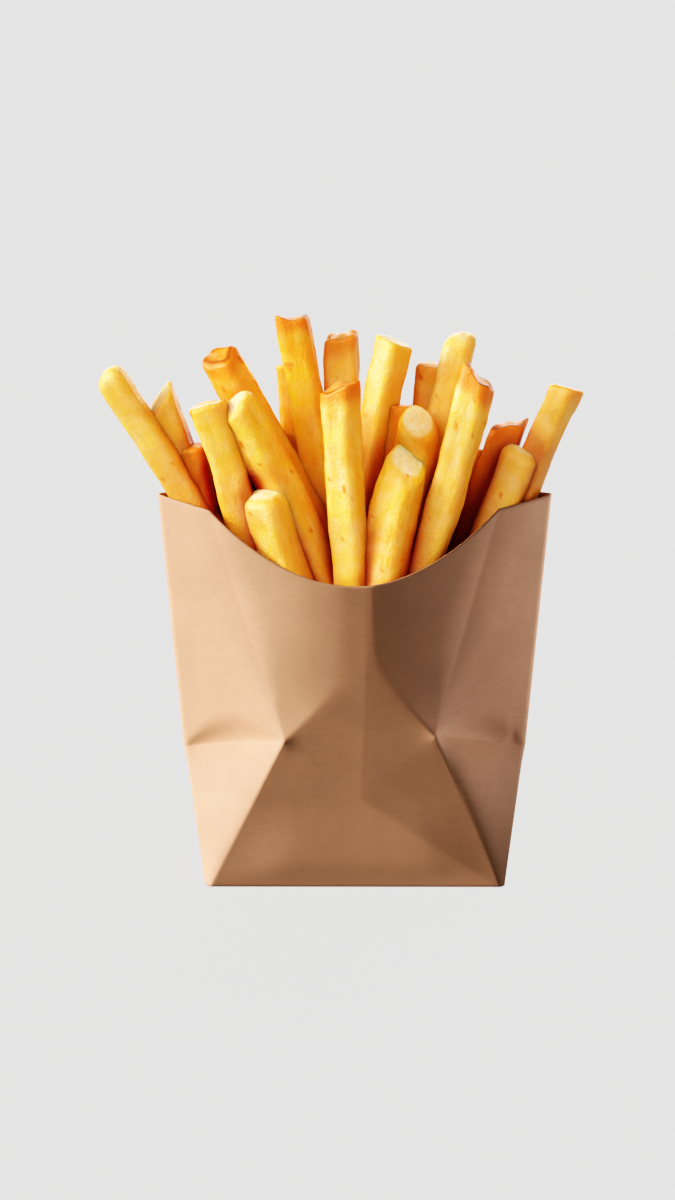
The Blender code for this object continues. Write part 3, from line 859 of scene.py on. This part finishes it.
def kraft_paper(settings):
    """Brown paper: cloudy pulp, fine fibres that lie mostly level, and small dark and light specks."""
    made, tree, shader, place = start_material("kraft_paper")

    def tint(factor):
        return tuple(min(1.0, part * factor) for part in settings.paper_colour)

    stretch = tree.nodes.new("ShaderNodeMapping")
    stretch.inputs["Scale"].default_value = (0.22, 0.22, 1.0)
    tree.links.new(place, stretch.inputs["Vector"])
    fibres = noise(tree, stretch.outputs["Vector"], 900.0, 4.0, 0.6)
    spots = mottle(tree, place, 45.0, 1300.0)
    colour = mix_colours(tree, ramp(tree, spots["Patches"], 0, 1, 0.3, 0.7), tint(0.90), tint(1.07))
    colour = mix_colours(tree, ramp(tree, fibres, 0.42, 0.62, 0.0, 0.2), colour, tint(0.86))
    colour = mix_colours(tree, ramp(tree, spots["Specks"], 0, 1, 0.0, 0.28), colour, tint(0.7))
    # Painted light: the rubbed mask makes the low triangle at the foot paler.
    rubbed = arithmetic(tree, "MULTIPLY", attribute(tree, "rubbed"), settings.rubbing)
    colour = mix_colours(tree, rubbed, colour, tint(1.35))
    tree.links.new(colour, shader.inputs["Base Color"])
    tree.links.new(ramp(tree, spots["Grain"], 0.3, 0.7, 0.62, 0.78), shader.inputs["Roughness"])
    height = arithmetic(tree, "ADD", fibres, spots["Grain"])
    add_relief(tree, shader, height, settings.fibre_bump, 0.04)
    shader.inputs["Specular IOR Level"].default_value = 0.3
    return made


def skin_streaks(tree):
    """Streaks along each fry, as noise on the point's own place in the fry, squeezed along its length."""
    inner = tree.nodes.new("ShaderNodeCombineXYZ")
    for axis, key, stretch in (("X", "side", 1.0), ("Y", "front", 1.0), ("Z", "along", 0.22)):
        tree.links.new(arithmetic(tree, "MULTIPLY", attribute(tree, key), stretch), inner.inputs[axis])
    return noise(tree, inner.outputs[0], 0.34, 4.0, 0.6)


def fried_potato(settings):
    """Fried skin: golden to amber by tone, cream on cut ends, brown where toasted, with an oily sheen."""
    made, tree, shader, place = start_material("fried_potato")
    toast, cream, tone, deep = (attribute(tree, name) for name in ("toast", "cream", "tone", "deep"))
    spots = mottle(tree, place, 210.0, 900.0)
    clouds = noise(tree, place, 70.0, 3.0, 0.55)
    streaks = skin_streaks(tree)
    crumbs = noise(tree, place, 700.0, 2.0)

    depth = arithmetic(tree, "ADD", tone, ramp(tree, clouds, 0.32, 0.68, -0.45, 0.45))
    colour = mix_colours(tree, ramp(tree, depth, -0.1, 1.1), settings.golden, settings.amber)
    pale = arithmetic(tree, "MULTIPLY", ramp(tree, spots["Patches"], 0.2, 0.9, 0.0, 0.22),
                      ramp(tree, tone, 0.1, 0.9, 1.0, 0.15))
    pale = arithmetic(tree, "ADD", pale, ramp(tree, tone, 0.0, 0.45, 0.36, 0.0))
    pale = arithmetic(tree, "ADD", pale, ramp(tree, streaks, 0.5, 0.72, 0.0, 0.34))
    mealy = mix_colours(tree, ramp(tree, crumbs, 0.4, 0.62, 0.0, 0.7), settings.inside, settings.cream)
    # The deep layer is painted shade: dark red where the fries lie low and behind others.
    layers = ((ramp(tree, streaks, 0.28, 0.5, 0.5, 0.0), settings.amber),
              (pale, settings.cream),
              (deep, settings.deep),
              (arithmetic(tree, "MULTIPLY", spots["Specks"], 0.12), settings.toasted),
              (cream, mealy),
              (ramp(tree, toast, 0.0, 0.5), settings.toasted),
              (ramp(tree, toast, 0.45, 1.0), settings.burnt))
    for share, layer in layers:
        colour = mix_colours(tree, share, colour, layer)
    tree.links.new(colour, shader.inputs["Base Color"])
    tree.links.new(ramp(tree, spots["Grain"], 0.3, 0.7, 0.32, 0.55), shader.inputs["Roughness"])

    fine = noise(tree, place, 1300.0, 3.0)
    crumb = arithmetic(tree, "MULTIPLY", crumbs, arithmetic(tree, "MULTIPLY", cream, 2.0))
    height = arithmetic(tree, "ADD", arithmetic(tree, "ADD", spots["Grain"], fine), crumb)
    height = arithmetic(tree, "ADD", height, arithmetic(tree, "MULTIPLY", streaks, 2.0))
    add_relief(tree, shader, height, settings.skin_bump, 0.3)
    set_values(shader, {"Subsurface Weight": settings.glow, "Subsurface Radius": (1.0, 0.5, 0.12),
                        "Subsurface Scale": settings.glow_depth * MM, "Specular IOR Level": 0.5,
                        "Coat Weight": 0.1, "Coat Roughness": 0.25})
    return made


def plain_floor(colour):
    """A pale matt floor that shines evenly by itself, with a little of its colour left for a soft shadow."""
    made, tree, shader, place = start_material("pale_floor")
    grain = noise(tree, place, 40.0, 2.0)
    shade = mix_colours(tree, ramp(tree, grain, 0.3, 0.7), (0.050,) * 3, (0.048,) * 3)
    tree.links.new(shade, shader.inputs["Base Color"])
    set_values(shader, {"Emission Color": (*colour[:3], 1.0), "Emission Strength": 0.97, "Roughness": 1.0,
                        "Specular IOR Level": 0.0})
    return made


# Settings.


class CartonSettings(bpy.types.PropertyGroup):
    """Sizes and colours of the paper carton."""

    thickness: FloatProperty(
        name="Paper thickness", description="Thickness of the folded sheet in millimetres",
        default=0.45, min=0.2, max=1.0)
    wrinkle: FloatProperty(
        name="Wrinkles", description="How much the paper waves and dents between its folds",
        default=1.0, min=0.0, max=4.0)
    fibre_bump: FloatProperty(
        name="Fibre relief", description="Strength of the paper's fine relief",
        default=0.25, min=0.0, max=1.0, subtype="FACTOR")
    # Painted light: how much paler the low triangle at the foot is painted, standing in for brighter light on
    # it.
    rubbing: FloatProperty(
        name="Painted foot light", description="How much paler the folded-up triangle at the base is",
        default=0.4, min=0.0, max=1.0, subtype="FACTOR")
    paper_colour: FloatVectorProperty(
        name="Paper", description="Colour of the kraft paper",
        subtype="COLOR", size=3, min=0.0, max=1.0, default=(0.60, 0.36, 0.24))


class FriesSettings(bpy.types.PropertyGroup):
    """Shape and colours of the fries."""

    sides: IntProperty(
        name="Sides", description="Points round each fry's section",
        default=34, min=12, max=64)
    squareness: FloatProperty(
        name="Squareness", description="How square each fry's section is, from 2 for round",
        default=4.0, min=2.0, max=12.0)
    skin: FloatProperty(
        name="Skin relief", description="How rough each fry's skin is",
        default=1.25, min=0.0, max=3.0)
    ragged: FloatProperty(
        name="Ragged ends", description="How uneven the cut ends are, in millimetres",
        default=0.7, min=0.0, max=3.0)
    skin_bump: FloatProperty(
        name="Fine relief", description="Strength of the skin's fine relief",
        default=0.75, min=0.0, max=1.0, subtype="FACTOR")
    glow: FloatProperty(
        name="Glow", description="How much of the light goes through the potato",
        default=0.6, min=0.0, max=1.0, subtype="FACTOR")
    glow_depth: FloatProperty(
        name="Glow depth", description="How far light spreads in the potato, in millimetres",
        default=3.0, min=0.0, max=20.0)
    golden: FloatVectorProperty(
        name="Golden", description="Colour of lightly fried skin",
        subtype="COLOR", size=3, min=0.0, max=1.0, default=(0.97, 0.555, 0.04))
    amber: FloatVectorProperty(
        name="Amber", description="Colour of well fried skin",
        subtype="COLOR", size=3, min=0.0, max=1.0, default=(0.94, 0.40, 0.02))
    cream: FloatVectorProperty(
        name="Cream", description="Colour of the palest skin",
        subtype="COLOR", size=3, min=0.0, max=1.0, default=(1.0, 0.665, 0.35))
    inside: FloatVectorProperty(
        name="Inside", description="Colour of the potato's inside at the cut ends",
        subtype="COLOR", size=3, min=0.0, max=1.0, default=(1.0, 0.82, 0.58))
    toasted: FloatVectorProperty(
        name="Toasted", description="Colour of browned ends and blisters",
        subtype="COLOR", size=3, min=0.0, max=1.0, default=(0.80, 0.27, 0.015))
    burnt: FloatVectorProperty(
        name="Burnt", description="Colour of the darkest rims",
        subtype="COLOR", size=3, min=0.0, max=1.0, default=(0.28, 0.06, 0.008))
    # Painted shade: the dark red that the fries are painted in the gaps between them.
    deep: FloatVectorProperty(
        name="Deep", description="Colour of the fries low down between the others",
        subtype="COLOR", size=3, min=0.0, max=1.0, default=(0.44, 0.026, 0.004))


class StageSettings(bpy.types.PropertyGroup):
    """Floor, lights and camera."""

    floor_colour: FloatVectorProperty(
        name="Floor", description="Colour of the floor and the backdrop",
        subtype="COLOR", size=3, min=0.0, max=1.0, default=(0.563, 0.563, 0.563))
    key: FloatProperty(
        name="Key light", description="Strength of the large light at the upper left",
        default=4.5, min=0.0)
    key_softness: FloatProperty(
        name="Key softness", description="How wide the key light is",
        default=math.radians(25), subtype="ANGLE")
    fill: FloatProperty(
        name="Fill light", description="Power of the lamp at the right, which lights the paper",
        default=18.5, min=0.0, unit="POWER")
    fries_fill: FloatProperty(
        name="Fries fill", description="Strength of the warm light at the right of the fries",
        default=1.15, min=0.0)
    underside: FloatProperty(
        name="Underside", description="Strength of the light from below, on the base",
        default=0.4, min=0.0)
    fries_key: FloatProperty(
        name="Fries key", description="Strength of the upper left light on the fries",
        default=2.8, min=0.0)
    fries_front: FloatProperty(
        name="Fries light", description="Strength of the front light on the fries",
        default=1.5, min=0.0)
    back: FloatProperty(
        name="Back light", description="Strength of the light behind the carton",
        default=1.5, min=0.0)
    ambient: FloatProperty(
        name="Ambient", description="Strength of the light from all round",
        default=0.09, min=0.0)
    lens: FloatProperty(
        name="Lens", description="Focal length of the camera",
        default=97.8, unit="CAMERA")
    elevation: FloatProperty(
        name="Elevation", description="How far above the horizon the camera stands",
        default=math.radians(10), subtype="ANGLE")


# Operators.


class FRIES_OT_carton(bpy.types.Operator):
    """Make the folded paper carton."""

    bl_idname = "fries.carton"
    bl_label = "Paper carton"

    def execute(self, context):
        settings = context.scene.carton_settings
        points, faces, masks = make_sheet(settings)
        carton = mesh_object("paper_carton", points, faces, masks)
        wall = carton.modifiers.new("paper", "SOLIDIFY")
        wall.thickness = settings.thickness * MM
        wall.offset = -1
        wall.use_even_offset = True
        carton.data.materials.append(kraft_paper(settings))
        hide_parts("carton")
        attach(carton, "root")
        return {"FINISHED"}


class FRIES_OT_fries(bpy.types.Operator):
    """Make the fries and the unseen mass of fries under them."""

    bl_idname = "fries.fries"
    bl_label = "Fries"

    def execute(self, context):
        settings = context.scene.fries_settings
        finish = fried_potato(settings)
        points, faces, masks = make_fry_meshes(settings)
        fries = mesh_object("fries_bundle", points, faces, masks)
        fries.data.materials.append(finish)
        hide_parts("fries")
        core_points, core_faces = make_core(context.scene.carton_settings)
        core_masks = dict(zip(("side", "front", "along"), core_points.T))
        # The whole core is painted in full shade, as it lies in the dark under the fries.
        for key, value in (("toast", 0.2), ("cream", 0.0), ("tone", 0.8), ("deep", 1.0)):
            core_masks[key] = np.full(len(core_points), value)
        core = mesh_object("fries_core", core_points, core_faces, core_masks)
        core.data.materials.append(finish)
        for piece in (fries, core):
            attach(piece, "root")
        return {"FINISHED"}


class FRIES_OT_stage(bpy.types.Operator):
    """Make the floor, the lights and the camera."""

    bl_idname = "fries.stage"
    bl_label = "Stage"

    def execute(self, context):
        settings = context.scene.stage_settings
        corners = np.array([(-1, -1, 0), (1, -1, 0), (1, 1, 0), (-1, 1, 0)]) * FLOOR_HALF_WIDTH
        floor = mesh_object("floor", corners + [0, 0, FLOOR_LEVEL], [(0, 1, 2, 3)])
        floor.data.materials.append(plain_floor(settings.floor_colour))
        floor.visible_diffuse = False
        floor.visible_shadow = False
        for light in LIGHTS:
            made = add_light(light, getattr(settings, light.name), settings.key_softness)
            if light.lit:
                only_lights(made, light.lit)
        add_world(settings)
        add_camera(settings)
        set_tone(context.scene.view_settings)
        return {"FINISHED"}


def add_light(light, strength, key_softness):
    """A distant light that shines from its place, or a spotlight that fades softly from its middle."""
    made = bpy.data.lights.new(light.name, "SPOT" if light.aim else "SUN")
    made.energy = strength
    made.color = light.colour
    if light.aim:
        made.spot_size = math.radians(SPOT_ANGLE)
        made.spot_blend = 1.0
        made.shadow_soft_size = SPOT_RADIUS * MM
    else:
        made.angle = math.radians(light.softness) if light.softness else key_softness
    lamp = bpy.data.objects.new(light.name, made)
    lamp.location = Vector(light.place) * MM
    backwards = Vector(light.place) - Vector(light.aim or (0, 0, 0))
    lamp.rotation_euler = backwards.to_track_quat("Z", "Y").to_euler()
    bpy.context.scene.collection.objects.link(lamp)
    return lamp


def only_lights(light, start):
    """Makes a light shine only on the pieces whose names begin with start."""
    lit = bpy.data.collections.new("lit_by_" + light.name)
    for piece in bpy.data.objects:
        if piece.name.startswith(start) and piece.type == "MESH":
            lit.objects.link(piece)
    light.light_linking.receiver_collection = lit


def add_world(settings):
    """A backdrop of the floor's colour, which lights the object only by its ambient strength."""
    world = bpy.data.worlds.new("studio")
    world.use_nodes = True
    tree = world.node_tree
    backdrop = tree.nodes["Background"]
    backdrop.inputs["Color"].default_value = (*settings.floor_colour, 1.0)
    ambient = tree.nodes.new("ShaderNodeBackground")
    set_values(ambient, {"Color": (1.0, 0.87, 0.64, 1.0), "Strength": settings.ambient})
    mixed = tree.nodes.new("ShaderNodeMixShader")
    ray = tree.nodes.new("ShaderNodeLightPath")
    for index, socket in enumerate((ray.outputs["Is Camera Ray"], ambient.outputs[0], backdrop.outputs[0])):
        tree.links.new(socket, mixed.inputs[index])
    tree.links.new(mixed.outputs[0], tree.nodes["World Output"].inputs["Surface"])
    bpy.context.scene.world = world


def add_camera(settings):
    """The camera looks along +Y from its distance to the aim, tipped down by its elevation."""
    camera = bpy.data.cameras.new("camera")
    camera.lens = settings.lens
    camera.sensor_width = SENSOR_WIDTH
    made = bpy.data.objects.new("camera", camera)
    backwards = Vector((0, -math.cos(settings.elevation), math.sin(settings.elevation)))
    made.location = Vector(CAMERA_AIM) * MM + backwards * (CAMERA_DISTANCE * MM)
    made.rotation_euler = (math.pi / 2 - settings.elevation, 0, 0)
    bpy.context.scene.collection.objects.link(made)
    bpy.context.scene.camera = made


def set_tone(view):
    """Deep warm darks and bright soft lights, as a curve from light to displayed light."""
    view.view_transform = "Standard"
    view.use_curve_mapping = True
    mapping = view.curve_mapping
    mapping.white_level = (TONE_WHITE,) * 3
    mapping.extend = "HORIZONTAL"
    curve = mapping.curves[3]
    curve.points[0].location = (0, 0)
    curve.points[-1].location = (1, 1)
    for light, shown in TONE[1:-1]:
        curve.points.new(light / TONE_WHITE, shown)
    mapping.update()


class FRIES_PT_panel(bpy.types.Panel):
    """Lists the pieces and their settings."""

    bl_label = "Fries in a carton"
    bl_idname = "FRIES_PT_panel"
    bl_space_type = "VIEW_3D"
    bl_region_type = "UI"
    bl_category = "Fries"

    def draw(self, context):
        scene = context.scene
        for operator, settings in (("fries.carton", scene.carton_settings),
                                   ("fries.fries", scene.fries_settings),
                                   ("fries.stage", scene.stage_settings)):
            box = self.layout.box()
            box.operator(operator)
            for name in settings.bl_rna.properties.keys():
                if name not in ("rna_type", "name"):
                    box.prop(settings, name)


CLASSES = (CartonSettings, FriesSettings, StageSettings, FRIES_OT_carton, FRIES_OT_fries, FRIES_OT_stage,
           FRIES_PT_panel)


def register():
    """Registers the classes and gives each scene its settings."""
    for item in CLASSES:
        bpy.utils.register_class(item)
    bpy.types.Scene.carton_settings = PointerProperty(type=CartonSettings)
    bpy.types.Scene.fries_settings = PointerProperty(type=FriesSettings)
    bpy.types.Scene.stage_settings = PointerProperty(type=StageSettings)


def unregister():
    """Takes the settings off the scenes and unregisters the classes."""
    for name in ("carton_settings", "fries_settings", "stage_settings"):
        delattr(bpy.types.Scene, name)
    for item in reversed(CLASSES):
        bpy.utils.unregister_class(item)


def main():
    """Makes every piece and the stage."""
    register()
    bpy.ops.fries.carton()
    bpy.ops.fries.fries()
    bpy.ops.fries.stage()


if __name__ == "__main__":
    main()
